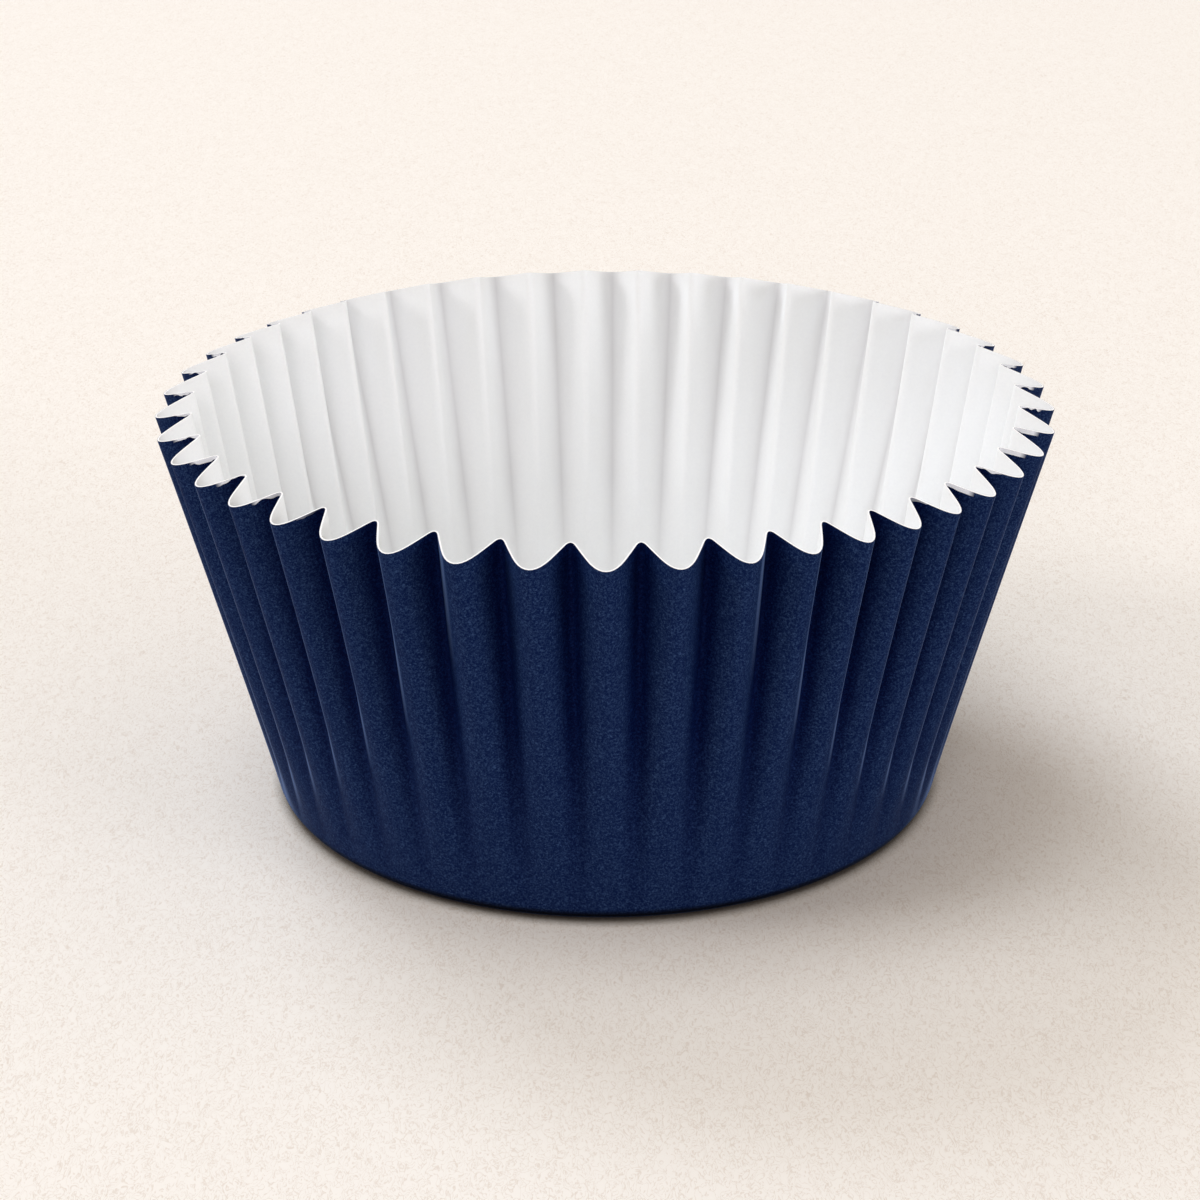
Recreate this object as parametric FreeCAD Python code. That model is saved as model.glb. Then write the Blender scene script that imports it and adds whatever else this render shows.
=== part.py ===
"""Fluted paper candy cup: one round of paper pressed into a pleated cup.

The flat middle of the round is the base. Past a small rounded corner the paper is gathered into
pleats, which start from nothing at the corner and grow to their full depth at the rim. A pleat is
one outward flute between two inward folds. The solid has an outer skin, an inner skin one paper
thickness away, and the cut edge that joins them along the rim.

Frame: millimetres, +Z up, origin at the centre of the underside of the base, one flute towards -Y.
"""
import FreeCAD, Part
import math
import os

# --- driving dimensions -------------------------------------------------------------------------
PLEATS = 44
PAPER = 0.08               # paper thickness
BASE_DIAMETER = 31.75      # across the base, to where base and wall would meet without a rounding
CORNER_RADIUS = 0.9        # rounding between base and wall, on the outside
RIM_DIAMETER = 41.5        # across the rim, over the flutes
FLUTE_HEIGHT = 18.8        # height of the rim at the flutes
FOLD_HEIGHT = 19.4         # height of the rim at the folds: they lean out less, so they reach higher
PLEAT_DEPTH = 1.65         # from the outside of a flute to the outside of a fold, at the rim
PLEAT_GROWTH = 1.15        # pleat depth grows as this power of the way up the wall
CROWN_SHARE = 0.52         # share of half a pleat taken by the rounded crown of the flute
FOLD_SHARE = 0.14          # share of half a pleat taken by the rounded tip of the fold
OVALITY = 0.004            # the rim is this share wider left to right and narrower front to back
FRONT_FLUTE = -1.9         # degrees that the front flute stands off the -Y axis

# The pleats have relaxed unevenly. Each entry is a slow drift of their pitch around the cup:
# how many times it repeats, how far it shifts a pleat in degrees, and where it peaks in degrees.
PITCH_DRIFT = ((2, 1.6, -16), (3, 0.5, -30), (4, 1.1, 101), (5, 0.2, 23))

# Where the skin is divided into facets. The wall twists all the way up each flank, so that flat
# triangles hold it within a few hundredths of a millimetre with far fewer faces than curved ones.
CORNER_STEPS = 3                    # steps round the corner
WALL_LEVELS = (0.22, 0.6, 1.0)      # shares of the way up the wall
CROWN_STEPS = 2                     # steps from the middle of a crown to its edge
FLANK_STEPS = 2                     # steps along the straight flank


# --- the pleats ---------------------------------------------------------------------------------
def turn_of(pleats):
    """Angle about the axis, from -Y towards +X, of a place counted in pleats from the front one."""
    even = FRONT_FLUTE + pleats * 360.0 / PLEATS
    drift = sum(size * math.cos(math.radians(repeats * even - peak))
                for repeats, size, peak in PITCH_DRIFT)
    return math.radians(even + drift)


def spread(start, end, steps):
    """Evenly spaced values after start, up to and including end."""
    return [start + (end - start) * step / steps for step in range(1, steps + 1)]


def wave(inset):
    """One pleat across: a list of (place, depth) from the fold at -1 to the fold at 1.

    Depth is 0 on the flute and 1 on the fold. The crown and the fold tip are parabolas, joined by
    a straight flank. On the inner skin the crown is narrower and the fold tip wider, by what
    keeps the two flanks one paper thickness apart.
    """
    half_pitch = math.pi * (RIM_DIAMETER - PLEAT_DEPTH) / PLEATS / 2
    steepness = 1.0 / (1 - CROWN_SHARE / 2 - FOLD_SHARE / 2)
    flank = math.atan(steepness * PLEAT_DEPTH / half_pitch)
    shift = 2 * inset * math.tan(flank / 2) / half_pitch
    crown = CROWN_SHARE - shift
    fold = FOLD_SHARE + shift

    def depth(place):
        if place <= crown:
            return steepness * place ** 2 / (2 * crown)
        if place <= 1 - fold:
            return steepness * (place - crown / 2)
        return 1 - steepness * (1 - place) ** 2 / (2 * fold)

    places = spread(0, crown, CROWN_STEPS) + spread(crown, 1 - fold, FLANK_STEPS) + [1.0]
    half = [(place, depth(place)) for place in places]
    return [(-place, deep) for place, deep in reversed(half)] + [(0.0, 0.0)] + half


# --- the wall's height lines --------------------------------------------------------------------
def lean(bottom, top):
    """Angle of a wall line from upright."""
    return math.atan2(top[0] - bottom[0], top[1] - bottom[1])


def between(start, end, share):
    """The place a share of the way from one (radius, height) to another."""
    return (start[0] + share * (end[0] - start[0]), start[1] + share * (end[1] - start[1]))


BASE_CORNER = (BASE_DIAMETER / 2, 0.0)
FLUTE_TOP = (RIM_DIAMETER / 2, FLUTE_HEIGHT)
FOLD_TOP = (RIM_DIAMETER / 2 - PLEAT_DEPTH, FOLD_HEIGHT)
CORNER_TURN = math.pi / 2 - lean(BASE_CORNER, between(FLUTE_TOP, FOLD_TOP, 0.5))
FLAT_RADIUS = BASE_CORNER[0] - CORNER_RADIUS * math.tan(CORNER_TURN / 2)


def corner_place(inset, turn):
    """(radius, height) on the rounded corner, a turn past the flat base."""
    radius = CORNER_RADIUS - inset
    return (FLAT_RADIUS + radius * math.sin(turn), CORNER_RADIUS - radius * math.cos(turn))


def wall_places(inset, share):
    """(radius, height) of flute and fold, a share of the way up the wall."""
    foot = corner_place(inset, CORNER_TURN)
    tops = []
    for top in (FLUTE_TOP, FOLD_TOP):
        tilt = lean(BASE_CORNER, top)
        tops.append((top[0] - inset * math.cos(tilt), top[1] + inset * math.sin(tilt)))
    middle_top = between(tops[0], tops[1], 0.5)
    middle = between(foot, middle_top, share)
    grown = share ** PLEAT_GROWTH
    return [(middle[0] + grown * (top[0] - middle_top[0]), middle[1] + grown * (top[1] - middle_top[1]))
            for top in tops]


def point(pleats, place):
    """The point at (radius, height), at a turn counted in pleats."""
    turn = turn_of(pleats)
    radius = place[0] * (1 - OVALITY * math.cos(2 * turn) * place[1] / FLUTE_HEIGHT)
    return FreeCAD.Vector(radius * math.sin(turn), -radius * math.cos(turn), place[1])


# --- facets -------------------------------------------------------------------------------------
def triangle(*corners):
    return Part.Face(Part.makePolygon(corners + corners[:1]))


def band(lower, upper):
    """Facets between two rows with the same number of points, mirrored about the middle point."""
    facets = []
    middle = (len(lower) - 1) / 2
    for left in range(len(lower) - 1):
        low_left, low_right = lower[left], lower[left + 1]
        top_left, top_right = upper[left], upper[left + 1]
        if left < middle:
            facets += [triangle(low_left, low_right, top_left), triangle(low_right, top_right, top_left)]
        else:
            facets += [triangle(low_left, low_right, top_right), triangle(low_left, top_right, top_left)]
    return facets


def foot_band(lower, upper):
    """Facets from a foot row (fold, flute, fold) up to a full row across the pleat."""
    fold, flute, next_fold = lower
    middle = len(upper) // 2
    quarter = middle // 2
    facets = [triangle(fold, flute, upper[quarter]), triangle(flute, next_fold, upper[-1 - quarter])]
    for left in range(len(upper) - 1):
        if left < quarter:
            foot = fold
        elif left < len(upper) - 1 - quarter:
            foot = flute
        else:
            foot = next_fold
        facets.append(triangle(foot, upper[left + 1], upper[left]))
    return facets


def wall_row(number, inset, share):
    """Points across one pleat, a share of the way up the wall."""
    flute, fold = wall_places(inset, share)
    return [point(number + place / 2, between(flute, fold, depth)) for place, depth in wave(inset)]


def corner_row(number, inset, turn):
    """Fold, flute and fold of one pleat, on the rounded corner where they are still one line."""
    return [point(number + place, corner_place(inset, turn)) for place in (-0.5, 0.0, 0.5)]


def pleat_skin(number, inset):
    """Facets of one pleat's share of a skin, from the flat base to the rim."""
    corner = [corner_row(number, inset, CORNER_TURN * step / CORNER_STEPS)
              for step in range(CORNER_STEPS + 1)]
    wall = [wall_row(number, inset, share) for share in WALL_LEVELS]
    facets = foot_band(corner[-1], wall[0])
    for rows in (corner, wall):
        for lower, upper in zip(rows, rows[1:]):
            facets += band(lower, upper)
    return facets


def flat_base(inset):
    """The flat base, bounded by the lower row of the corner."""
    outline = []
    for number in range(PLEATS):
        outline += corner_row(number, inset, 0.0)[:2]
    return Part.Face(Part.makePolygon(outline + outline[:1]))


def make_cup():
    facets = []
    for inset in (0.0, PAPER):
        facets.append(flat_base(inset))
        for number in range(PLEATS):
            facets += pleat_skin(number, inset)
    for number in range(PLEATS):
        facets += band(wall_row(number, 0.0, 1.0), wall_row(number, PAPER, 1.0))
    skin = Part.makeCompound(facets)
    skin.sewShape()
    return Part.makeSolid(skin.Shells[0])


cup = make_cup()
os.makedirs("parts", exist_ok=True)
cup.exportStep("parts/cup.step")
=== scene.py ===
"""Paper candy cup: the look of the fluted paper, around the fixed construction model.

Frame: metres, +Z up, origin at the centre of the underside of the base, one flute towards -Y.
"""
import bpy
import math
from mathutils import Matrix, Vector


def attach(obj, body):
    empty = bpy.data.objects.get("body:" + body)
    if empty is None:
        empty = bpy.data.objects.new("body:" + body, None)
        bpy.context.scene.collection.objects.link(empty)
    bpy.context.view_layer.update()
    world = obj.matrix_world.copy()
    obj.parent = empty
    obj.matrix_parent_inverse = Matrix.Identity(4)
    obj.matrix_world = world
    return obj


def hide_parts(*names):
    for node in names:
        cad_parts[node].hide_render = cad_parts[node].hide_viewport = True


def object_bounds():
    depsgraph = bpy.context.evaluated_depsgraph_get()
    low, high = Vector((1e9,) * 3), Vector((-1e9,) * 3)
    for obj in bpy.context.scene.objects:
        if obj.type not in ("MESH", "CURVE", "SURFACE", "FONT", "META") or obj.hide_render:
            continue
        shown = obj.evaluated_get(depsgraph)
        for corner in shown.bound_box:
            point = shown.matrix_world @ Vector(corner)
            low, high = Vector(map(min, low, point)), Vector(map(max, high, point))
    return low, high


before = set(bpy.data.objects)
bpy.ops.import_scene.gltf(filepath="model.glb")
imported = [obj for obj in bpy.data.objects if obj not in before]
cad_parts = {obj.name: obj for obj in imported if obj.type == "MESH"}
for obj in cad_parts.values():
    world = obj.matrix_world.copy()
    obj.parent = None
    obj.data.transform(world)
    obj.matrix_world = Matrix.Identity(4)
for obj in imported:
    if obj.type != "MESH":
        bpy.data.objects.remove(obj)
cad_box = [list(corner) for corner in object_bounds()]


# --- paper cup ----------------------------------------------------------------------------------
# One round of thin greaseproof paper, printed dark blue on the face that ends up outside and left
# white inside. The rounds are die cut in a stack, and a heated ribbed die presses each one into a
# flat base, a small rounded corner and 44 pleats that grow from nothing to their depth at the rim.
MM = 0.001
PLEATS = 44
PAPER = 0.08 * MM
BASE_RADIUS = 15.875 * MM        # to where base and wall would meet without a rounding
CORNER_RADIUS = 0.9 * MM
RIM_RADIUS = 20.75 * MM          # over the flutes
FLUTE_HEIGHT = 18.8 * MM
FOLD_HEIGHT = 19.4 * MM
PLEAT_DEPTH = 1.65 * MM          # from the outside of a flute to the outside of a fold
PLEAT_GROWTH = 1.15              # the depth grows as this power of the way up the wall
CROWN_SHARE = 0.52               # share of half a pleat in the rounded crown of the flute
FOLD_SHARE = 0.14                # share of half a pleat in the rounded tip of the fold
OVALITY = 0.004                  # the rim is this share wider left to right, narrower front to back
FRONT_FLUTE = -1.9               # degrees that the front flute stands off the -Y axis
PITCH_DRIFT = ((2, 1.6, -16), (3, 0.5, -30), (4, 1.1, 101), (5, 0.2, 23))   # repeats, degrees, peak

BASE_RINGS = (5, 10, 13, 14.6)   # radii in mm of the rings that divide the flat middle
CORNER_RINGS = 5
WALL_RINGS = 20
CROWN_COLUMNS, FLANK_COLUMNS, FOLD_COLUMNS = 5, 4, 3    # in half a pleat
COLUMNS = 2 * (CROWN_COLUMNS + FLANK_COLUMNS + FOLD_COLUMNS)
SMOOTH_UP_TO = 50                # degrees between faces, past which an edge is shaded sharp


def between(start, end, share):
    """The place a share of the way from one (radius, height) to another."""
    return (start[0] + share * (end[0] - start[0]), start[1] + share * (end[1] - start[1]))


def turn_of(pleats):
    """Angle about the axis, from -Y towards +X, of a place counted in pleats from the front one."""
    even = FRONT_FLUTE + pleats * 360 / PLEATS
    drift = sum(size * math.cos(math.radians(repeats * even - peak))
                for repeats, size, peak in PITCH_DRIFT)
    return math.radians(even + drift)


def across_pleat(column):
    """Where a column of the sheet comes to lie across its pleat: 0 on the flute, 1 on the fold."""
    column = min(column % COLUMNS, -column % COLUMNS)
    if column <= CROWN_COLUMNS:
        return CROWN_SHARE * column / CROWN_COLUMNS
    column -= CROWN_COLUMNS
    if column <= FLANK_COLUMNS:
        return CROWN_SHARE + (1 - FOLD_SHARE - CROWN_SHARE) * column / FLANK_COLUMNS
    column -= FLANK_COLUMNS
    return 1 - FOLD_SHARE * (1 - column / FOLD_COLUMNS)


def pleat_wave(place):
    """Depth of the pleat, 0 on the flute and 1 on the fold: round crown, straight flank, tight fold."""
    steepness = 1 / (1 - CROWN_SHARE / 2 - FOLD_SHARE / 2)
    if place <= CROWN_SHARE:
        return steepness * place ** 2 / (2 * CROWN_SHARE)
    if place <= 1 - FOLD_SHARE:
        return steepness * (place - CROWN_SHARE / 2)
    return 1 - steepness * (1 - place) ** 2 / (2 * FOLD_SHARE)


flute_top = (RIM_RADIUS, FLUTE_HEIGHT)
fold_top = (RIM_RADIUS - PLEAT_DEPTH, FOLD_HEIGHT)
middle_top = between(flute_top, fold_top, 0.5)
corner_turn = math.pi / 2 - math.atan2(middle_top[0] - BASE_RADIUS, middle_top[1])
flat_radius = BASE_RADIUS - CORNER_RADIUS * math.tan(corner_turn / 2)
foot = (flat_radius + CORNER_RADIUS * math.sin(corner_turn), CORNER_RADIUS * (1 - math.cos(corner_turn)))
wall_start = flat_radius + CORNER_RADIUS * corner_turn
slant = math.dist(foot, middle_top)


def pressed(distance, depth):
    """(radius, height) in the cup of a point this far from the middle of the flat round."""
    if distance <= flat_radius:
        return (distance, 0)
    if distance <= wall_start:
        turn = (distance - flat_radius) / CORNER_RADIUS
        return (flat_radius + CORNER_RADIUS * math.sin(turn), CORNER_RADIUS * (1 - math.cos(turn)))
    share = (distance - wall_start) / slant
    middle = between(foot, middle_top, share)
    top = between(flute_top, fold_top, depth)
    grown = share ** PLEAT_GROWTH
    return (middle[0] + grown * (top[0] - middle_top[0]), middle[1] + grown * (top[1] - middle_top[1]))


# The flat round: its middle, then one ring after another out to the cut edge.
rings = [radius * MM for radius in BASE_RINGS[1:]]
rings += [flat_radius + (wall_start - flat_radius) * step / CORNER_RINGS for step in range(CORNER_RINGS + 1)]
rings += [wall_start + slant * step / WALL_RINGS for step in range(1, WALL_RINGS + 1)]

bpy.ops.object.select_all(action="DESELECT")
bpy.ops.mesh.primitive_circle_add(vertices=PLEATS * COLUMNS, radius=BASE_RINGS[0] * MM,
                                  fill_type="TRIFAN", rotation=(0, 0, -math.pi / 2))
cup = bpy.context.object
cup.name = cup.data.name = "paper_cup"
bpy.ops.object.transform_apply(rotation=True)
bpy.ops.object.mode_set(mode="EDIT")
bpy.ops.mesh.region_to_loop()
reached = BASE_RINGS[0] * MM
for radius in rings:
    bpy.ops.mesh.extrude_edges_move()
    bpy.ops.transform.resize(value=(radius / reached, radius / reached, 1), center_override=(0, 0, 0))
    reached = radius
bpy.ops.object.mode_set(mode="OBJECT")

# Pressed in the die. Two marks stay with the sheet: how far across its pleat a point lies, and how
# far it is below the cut edge, in millimetres.
across = cup.data.attributes.new("across_pleat", "FLOAT", "POINT")
below = cup.data.attributes.new("below_rim", "FLOAT", "POINT")
for vertex in cup.data.vertices:
    distance = vertex.co.xy.length
    column = round(math.atan2(vertex.co.x, -vertex.co.y) / math.tau * PLEATS * COLUMNS)
    pleat = round(column / COLUMNS)
    place = across_pleat(column)
    side = 1 if column > pleat * COLUMNS else -1
    turn = turn_of(pleat + side * place / 2)
    radius, height = pressed(distance, pleat_wave(place))
    radius *= 1 - OVALITY * math.cos(2 * turn) * height / FLUTE_HEIGHT
    vertex.co = (radius * math.sin(turn), -radius * math.cos(turn), height)
    across.data[vertex.index].value = place
    below.data[vertex.index].value = (reached - distance) / MM

# The sheet gets its thickness inwards, after its printed face is turned outwards.
bpy.ops.object.mode_set(mode="EDIT")
bpy.ops.mesh.select_all(action="SELECT")
bpy.ops.mesh.normals_make_consistent(inside=False)
bpy.ops.object.mode_set(mode="OBJECT")
thickness = cup.modifiers.new("paper", "SOLIDIFY")
thickness.thickness = PAPER
thickness.offset = -1
thickness.use_even_offset = True
thickness.material_offset = 1
thickness.material_offset_rim = 2


def linear(hex_code):
    """An sRGB colour written as six hex digits, as linear red, green, blue and alpha."""
    shares = [int(hex_code[start:start + 2], 16) / 255 for start in (0, 2, 4)]
    return [share / 12.92 if share <= 0.04045 else ((share + 0.055) / 1.055) ** 2.4
            for share in shares] + [1]


def add_node(tree, kind, inputs, **settings):
    """One shader node: its settings, and its inputs as plain values or as outputs to link."""
    added = tree.nodes.new("ShaderNode" + kind)
    for name, value in settings.items():
        setattr(added, name, value)
    for socket, value in inputs.items():
        if isinstance(value, bpy.types.NodeSocket):
            tree.links.new(value, added.inputs[socket])
        else:
            added.inputs[socket].default_value = value
    return added


def new_material(name):
    """An empty node material, with its output node."""
    material = bpy.data.materials.new(name)
    material.use_nodes = True
    material.node_tree.nodes.clear()
    return material, material.node_tree, material.node_tree.nodes.new("ShaderNodeOutputMaterial")


def spots(size):
    """Scale of a noise whose spots are this many millimetres across."""
    return 1 / (size * MM)


# Printed greaseproof paper: a matt, deep navy flood coat. The ink has sunk in unevenly between the
# fibres, so the eye sees fine curly light grains on it. The folds are painted darker, as shade that
# stands in for the light meeting the ink more than once in them. Each ridge seen edge-on ends in a
# thin pale blue line of painted sheen, and the rounded foot is painted black as shade where it turns
# under onto the board.
printed, tree, output = new_material("printed_paper")
place = add_node(tree, "TexCoord", {}).outputs["Object"]
grain = add_node(tree, "TexNoise", {"Vector": place, "Scale": spots(0.085), "Detail": 1.0,
                                    "Distortion": 1.0})
bare = add_node(tree, "MapRange", {"Value": grain.outputs["Fac"], "From Min": 0.44, "From Max": 0.88})
ink = add_node(tree, "Mix", {"Factor": bare.outputs["Result"], "A": linear("081940"),
                             "B": linear("354C74")}, data_type="RGBA")
across_pleats = add_node(tree, "Attribute", {}, attribute_name="across_pleat")
under_rim = add_node(tree, "Attribute", {}, attribute_name="below_rim")
# Painted shade: the ink is darkened across the folds, most in the upper part of the wall.
in_fold = add_node(tree, "MapRange", {"Value": across_pleats.outputs["Fac"], "From Min": 0.42,
                                      "From Max": 0.85}, interpolation_type="SMOOTHSTEP")
folded_part = add_node(tree, "MapRange", {"Value": under_rim.outputs["Fac"], "From Min": 18.5,
                                          "From Max": 9.0, "To Min": 0.15})
painted_fold_shade = add_node(tree, "Math", {0: in_fold.outputs["Result"], 1: folded_part.outputs["Result"]},
                 operation="MULTIPLY")
ink_with_painted_light = add_node(tree, "Mix", {"Factor": painted_fold_shade.outputs["Value"], "A": ink.outputs["Result"],
                              "B": linear("6488BE")}, data_type="RGBA", blend_type="MULTIPLY")
place_axes = add_node(tree, "SeparateXYZ", {"Vector": place})
# Painted shade: the lowest part of the foot, where it turns under close to the board, is drawn near black.
foot_part = add_node(tree, "MapRange", {"Value": place_axes.outputs["Z"], "From Min": 0.8 * MM,
                                        "From Max": 0.55 * MM})
under_foot = add_node(tree, "AmbientOcclusion", {"Distance": 0.8 * MM}, samples=4)
shaded = add_node(tree, "MapRange", {"Value": under_foot.outputs["AO"], "From Min": 0.95, "From Max": 0.65})
painted_foot_shade = add_node(tree, "Math", {0: foot_part.outputs["Result"], 1: shaded.outputs["Result"]},
                        operation="MULTIPLY")
# Painted sheen: a pale blue is mixed into the ink where the surface is seen edge-on.
grazing = add_node(tree, "LayerWeight", {"Blend": 0.5})
painted_edge_sheen = add_node(tree, "MapRange", {"Value": grazing.outputs["Facing"], "From Min": 0.78, "From Max": 1.0,
                                   "To Max": 0.58}, interpolation_type="SMOOTHSTEP")
ink_with_painted_light = add_node(tree, "Mix", {"Factor": painted_edge_sheen.outputs["Result"], "A": ink_with_painted_light.outputs["Result"],
                              "B": linear("6C86B9")}, data_type="RGBA")
ink_with_painted_light = add_node(tree, "Mix", {"Factor": painted_foot_shade.outputs["Value"], "A": ink_with_painted_light.outputs["Result"],
                              "B": linear("020308")}, data_type="RGBA")

# At the cup's two sides only, along the flanks of the pleats next to the folds, slivers of white
# are drawn just below the rim, reaching down by a noise.
sliver_reach_noise = add_node(tree, "TexNoise", {"Vector": place, "Scale": spots(1.1), "Detail": 2.0})
reach = add_node(tree, "MapRange", {"Value": sliver_reach_noise.outputs["Fac"], "From Min": 0.38, "From Max": 0.6,
                                    "To Max": 0.2})
near_cut = add_node(tree, "Math", {0: under_rim.outputs["Fac"], 1: reach.outputs["Result"]},
                    operation="LESS_THAN")
off_middle = add_node(tree, "Math", {0: place_axes.outputs["X"]}, operation="ABSOLUTE")
sideways = add_node(tree, "MapRange", {"Value": off_middle.outputs["Value"], "From Min": 12 * MM,
                                       "From Max": 15 * MM})
by_fold = add_node(tree, "MapRange", {"Value": across_pleats.outputs["Fac"], "From Min": 0.5,
                                      "From Max": 0.6})
sliver = add_node(tree, "Math", {0: near_cut.outputs["Value"], 1: sideways.outputs["Result"]},
                  operation="MULTIPLY")
sliver = add_node(tree, "Math", {0: sliver.outputs["Value"], 1: by_fold.outputs["Result"]},
                  operation="MULTIPLY")
colour = add_node(tree, "Mix", {"Factor": sliver.outputs["Value"], "A": ink_with_painted_light.outputs["Result"],
                                "B": linear("EEF2FA")}, data_type="RGBA")
bump = add_node(tree, "Bump", {"Height": grain.outputs["Fac"], "Strength": 0.5, "Distance": 0.03 * MM})
face = add_node(tree, "BsdfPrincipled", {"Base Color": colour.outputs["Result"], "Roughness": 0.6,
                                         "Specular IOR Level": 0.02, "Sheen Weight": 0.1,
                                         "Sheen Roughness": 0.2, "Sheen Tint": linear("7FA5E6"),
                                         "Normal": bump.outputs["Normal"]})
tree.links.new(face.outputs["BSDF"], output.inputs["Surface"])

# Uncoated greaseproof paper: dense, smooth and soft white, with no shine. Down the channels a soft
# grey is painted in as shade, most where they are deep, near the rim.
plain, tree, output = new_material("uncoated_paper")
place = add_node(tree, "TexCoord", {}).outputs["Object"]
fibres = add_node(tree, "TexNoise", {"Vector": place, "Scale": spots(0.12), "Detail": 2.0})
white = add_node(tree, "Mix", {"Factor": fibres.outputs["Fac"], "A": linear("F4F6F8"),
                               "B": linear("FCFEFE")}, data_type="RGBA")
across_pleats = add_node(tree, "Attribute", {}, attribute_name="across_pleat")
under_rim = add_node(tree, "Attribute", {}, attribute_name="below_rim")
# Painted shade: grey down the channels, deepest near the rim.
channel = add_node(tree, "MapRange", {"Value": across_pleats.outputs["Fac"], "From Min": 0.9,
                                      "From Max": 0.0})
channel = add_node(tree, "Math", {0: channel.outputs["Result"], 1: 2.6}, operation="POWER")
deep_part = add_node(tree, "MapRange", {"Value": under_rim.outputs["Fac"], "From Min": 19.0,
                                        "From Max": 11.0, "To Max": 0.72})
painted_channel_shade = add_node(tree, "Math", {0: channel.outputs["Value"], 1: deep_part.outputs["Result"]},
                        operation="MULTIPLY")
colour = add_node(tree, "Mix", {"Factor": painted_channel_shade.outputs["Value"], "A": white.outputs["Result"],
                                "B": linear("CACACC")}, data_type="RGBA")
face = add_node(tree, "BsdfPrincipled", {"Base Color": colour.outputs["Result"], "Roughness": 0.9,
                                         "Specular IOR Level": 0.2})
tree.links.new(face.outputs["BSDF"], output.inputs["Surface"])

# Die-cut edge of the sheet: bare white fibre, with a hair of the ink at its outer side.
cut, tree, output = new_material("cut_paper_edge")
through = add_node(tree, "Attribute", {}, attribute_name="through_paper")
fibre = add_node(tree, "MapRange", {"Value": through.outputs["Fac"], "From Min": 0.1, "From Max": 0.2})
colour = add_node(tree, "Mix", {"Factor": fibre.outputs["Result"], "A": linear("1B2A52"),
                                "B": linear("FFFFFF")}, data_type="RGBA")
face = add_node(tree, "BsdfPrincipled", {"Base Color": colour.outputs["Result"], "Roughness": 0.9,
                                         "Specular IOR Level": 0.2})
tree.links.new(face.outputs["BSDF"], output.inputs["Surface"])

for material in (printed, plain, cut):
    cup.data.materials.append(material)
printed_points = len(cup.data.vertices)
bpy.ops.object.modifier_apply(modifier=thickness.name)
through = cup.data.attributes.new("through_paper", "FLOAT", "POINT")
for vertex in cup.data.vertices:
    through.data[vertex.index].value = 0 if vertex.index < printed_points else 1
bpy.ops.object.shade_smooth_by_angle(angle=math.radians(SMOOTH_UP_TO))
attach(cup, "root")
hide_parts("cup")


# --- table top ----------------------------------------------------------------------------------
# The cup stands on a wide, warm off-white sheet of matt board.
BOARD_RADIUS = 0.5               # in metres

bpy.ops.mesh.primitive_circle_add(vertices=96, radius=BOARD_RADIUS, fill_type="NGON",
                                  location=(0, 0, cad_box[0][2]))
table_top = bpy.context.object
table_top.name = table_top.data.name = "table_top"

# Uncoated cream board. Its fibres lie matted on the surface, longer along the grain of the board,
# which runs front to back, so the eye sees faint curly darker marks and a soft tooth. They are drawn
# coarser than real fibres, which are too fine to show. Close under the rounded foot of the cup hardly
# any light gets in, and the board there is painted dark as shade.
board, tree, output = new_material("matt_board")
place = add_node(tree, "TexCoord", {}).outputs["Object"]
along_grain = add_node(tree, "Mapping", {"Vector": place, "Scale": (1, 0.45, 1)})
tooth = add_node(tree, "TexNoise", {"Vector": along_grain.outputs["Vector"], "Scale": spots(0.32),
                                    "Detail": 1.0, "Distortion": 2.0})
off_line = add_node(tree, "Math", {0: tooth.outputs["Fac"], 1: 0.5}, operation="SUBTRACT")
off_line = add_node(tree, "Math", {0: off_line.outputs["Value"]}, operation="ABSOLUTE")
between_fibres = add_node(tree, "MapRange", {"Value": off_line.outputs["Value"], "From Max": 0.05})
board_colour = add_node(tree, "Mix", {"Factor": between_fibres.outputs["Result"], "A": linear("E6DCD1"),
                                      "B": linear("F7F2EB")}, data_type="RGBA")
bump = add_node(tree, "Bump", {"Height": between_fibres.outputs["Result"], "Strength": 0.3,
                               "Distance": 0.01 * MM})
# Painted shade: the board is darkened close under the foot of the cup.
wedge = add_node(tree, "AmbientOcclusion", {"Distance": 0.9 * MM}, samples=4)
open_to_light = add_node(tree, "MapRange", {"Value": wedge.outputs["AO"], "From Min": 0.22,
                                            "From Max": 0.62})
board_colour = add_node(tree, "Mix", {"Factor": open_to_light.outputs["Result"], "A": linear("4E453D"),
                                      "B": board_colour.outputs["Result"]}, data_type="RGBA")
face = add_node(tree, "BsdfPrincipled", {"Base Color": board_colour.outputs["Result"], "Roughness": 0.9,
                                         "Specular IOR Level": 0.2, "Normal": bump.outputs["Normal"]})
tree.links.new(face.outputs["BSDF"], output.inputs["Surface"])
table_top.data.materials.append(board)


# --- light and camera ---------------------------------------------------------------------------
# Soft daylight, strongest from behind on the left, with weaker lamps at the left, high above, at the
# right and in front that fill the cup and its shadow, and a warm, dim room around them. Where the
# room itself is seen past the edge of the board, or reflected, it is as pale as the board.
LAMP_SIZE = 0.88                 # side of each square lamp, in metres


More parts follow.
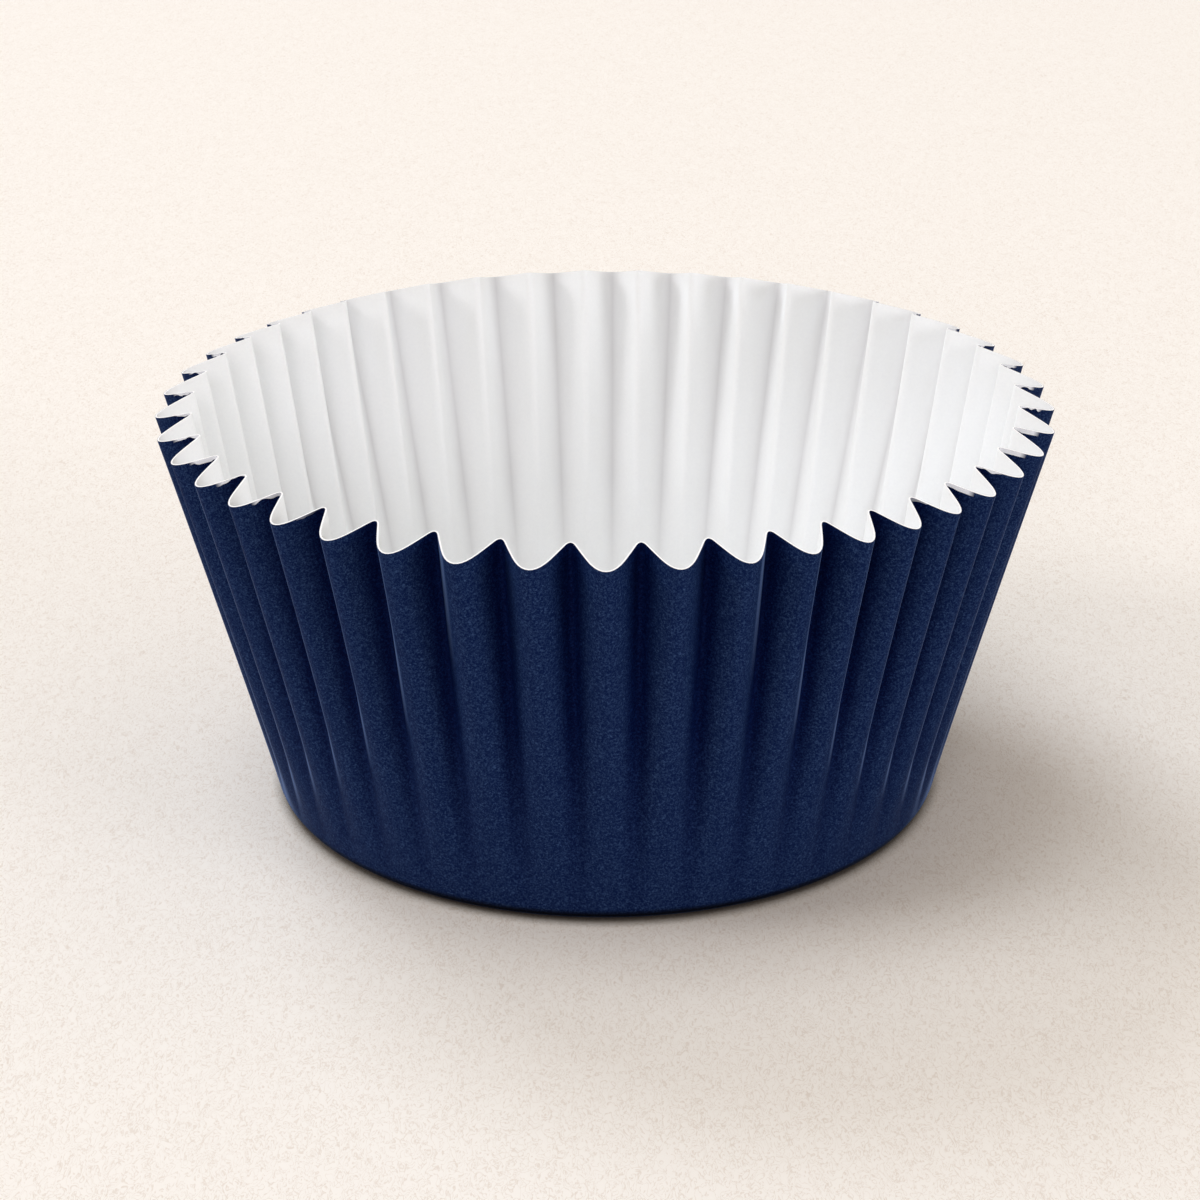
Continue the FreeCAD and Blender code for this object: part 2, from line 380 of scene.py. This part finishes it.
def soft_lamp(name, place, watts, tint):
    """A square lamp at a place, facing the cup."""
    bpy.ops.object.light_add(type="AREA", location=place)
    lamp = bpy.context.object
    lamp.name = name
    lamp.data.size = LAMP_SIZE
    lamp.data.color = linear(tint)[:3]
    lamp.data.energy = watts
    towards_cup = Vector((0, 0, FLUTE_HEIGHT / 2)) - Vector(place)
    lamp.rotation_euler = towards_cup.to_track_quat("-Z", "Y").to_euler()


soft_lamp("rear_lamp", (-0.972, 1.392, 1.696), 19.4, "E9F2FF")
soft_lamp("left_lamp", (-1.936, -0.342, 1.376), 12.8, "FDFCFF")
soft_lamp("high_lamp", (-0.492, -0.086, 2.348), 12.0, "EEF6FF")
soft_lamp("right_lamp", (2.032, -1.174, 0.5), 14.4, "FAFAFF")
soft_lamp("front_lamp", (-0.378, -2.142, 1.014), 9.6, "FDF8FF")

world = bpy.data.worlds.new("room")
bpy.context.scene.world = world
world.use_nodes = True
world.node_tree.nodes.clear()
tree = world.node_tree
room = add_node(tree, "Background", {"Color": linear("FFF2E2"), "Strength": 0.48})
backdrop = add_node(tree, "Background", {"Color": linear("F8F2EC"), "Strength": 1.0})
rays = add_node(tree, "LightPath", {})
seen = add_node(tree, "Math", {0: rays.outputs["Is Camera Ray"], 1: rays.outputs["Is Glossy Ray"]},
                operation="MAXIMUM")
seen = add_node(tree, "Math", {0: seen.outputs["Value"], 1: rays.outputs["Is Transmission Ray"]},
                operation="MAXIMUM")
shown = add_node(tree, "MixShader", {0: seen.outputs["Value"], 1: room.outputs["Background"],
                                     2: backdrop.outputs["Background"]})
output = tree.nodes.new("ShaderNodeOutputWorld")
tree.links.new(shown.outputs["Shader"], output.inputs["Surface"])

TILT = math.radians(23.18)       # the camera looks down by this much
ROLL = math.radians(0.26)
CAMERA_DISTANCE = 143.44 * MM
aim = Vector((-0.274, 0, 8.737)) * MM
stand = aim + CAMERA_DISTANCE * Vector((0, -math.cos(TILT), math.sin(TILT)))
facing = Matrix.Rotation(math.pi / 2 - TILT, 3, "X") @ Matrix.Rotation(-ROLL, 3, "Z")
bpy.ops.object.camera_add(location=stand, rotation=facing.to_euler())
camera = bpy.context.object
camera.data.lens = 89.71
camera.data.sensor_width = 36
camera.data.clip_start = 0.01
bpy.context.scene.camera = camera
bpy.context.scene.view_settings.view_transform = "Standard"
